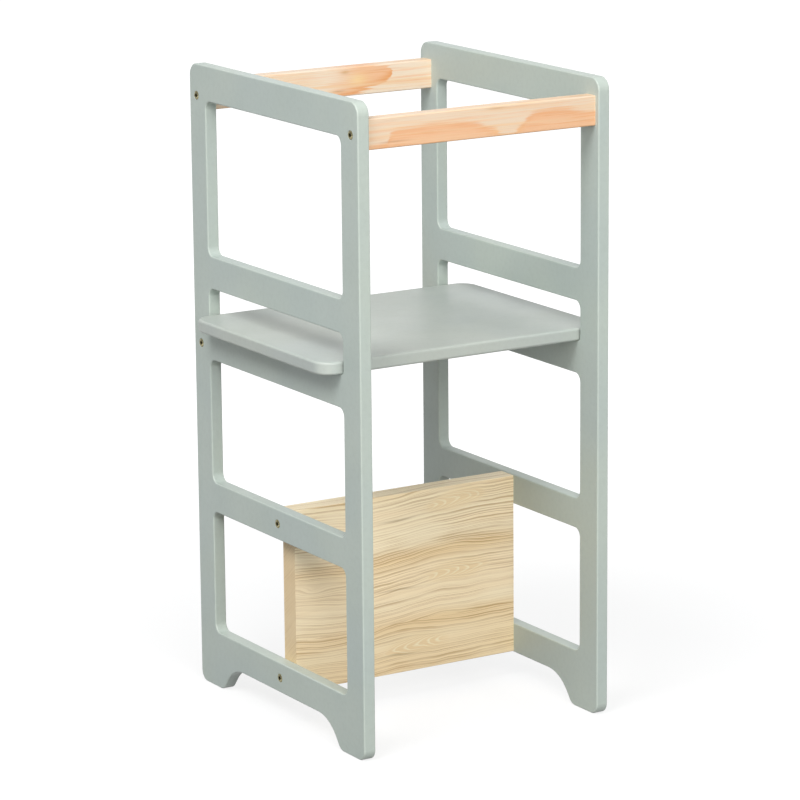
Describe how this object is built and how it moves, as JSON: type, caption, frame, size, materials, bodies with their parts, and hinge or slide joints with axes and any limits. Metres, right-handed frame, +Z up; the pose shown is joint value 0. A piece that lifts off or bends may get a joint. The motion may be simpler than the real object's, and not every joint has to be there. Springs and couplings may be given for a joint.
{
  "type": "toddler kitchen helper stool",
  "caption": "Tall open kitchen step tower for a toddler: two cut-out painted side panels, a standing platform through their slots, pine hand rails and a low wooden board.",
  "frame": {"origin": "on the floor, at the middle of the footprint", "axes": "+Z up; +X across the helper to its right side panel, as seen by someone who faces its front; +Y from the front to the back, where the cross bar is"},
  "size_m": [0.458, 0.457, 0.9],
  "materials": {
    "painted_board": "satin sage paint on smooth board",
    "pine": "clear matt lacquer on pine",
    "ash_board": "matt ash-look surface, grain across",
    "beech": "plain beech",
    "yellow_zinc": "yellow zinc plate"
  },
  "bodies": {
    "root": {"dowel_handrail_front_left_lower": "beech", "dowel_handrail_front_left_upper": "beech", "dowel_handrail_front_right_lower": "beech", "dowel_handrail_front_right_upper": "beech", "dowel_handrail_rear_left_lower": "beech", "dowel_handrail_rear_left_upper": "beech", "dowel_handrail_rear_right_lower": "beech", "dowel_handrail_rear_right_upper": "beech", "dowel_rear_crossbar_left_lower": "beech", "dowel_rear_crossbar_left_upper": "beech", "dowel_rear_crossbar_right_lower": "beech", "dowel_rear_crossbar_right_upper": "beech", "handrail_front": "pine", "handrail_rear": "pine", "low_board": "ash_board", "platform": "painted_board", "platform_screw_left_front": "yellow_zinc", "platform_screw_left_rear": "yellow_zinc", "platform_screw_right_front": "yellow_zinc", "platform_screw_right_rear": "yellow_zinc", "rear_crossbar": "pine", "screw_board_lower_left": "yellow_zinc", "screw_board_lower_right": "yellow_zinc", "screw_board_upper_left": "yellow_zinc", "screw_board_upper_right": "yellow_zinc", "screw_handrail_front_left": "yellow_zinc", "screw_handrail_front_right": "yellow_zinc", "screw_handrail_rear_left": "yellow_zinc", "screw_handrail_rear_right": "yellow_zinc", "screw_rear_crossbar_left": "yellow_zinc", "screw_rear_crossbar_right": "yellow_zinc", "side_panel_left": "painted_board", "side_panel_right": "painted_board"}
  },
  "joints": []
}
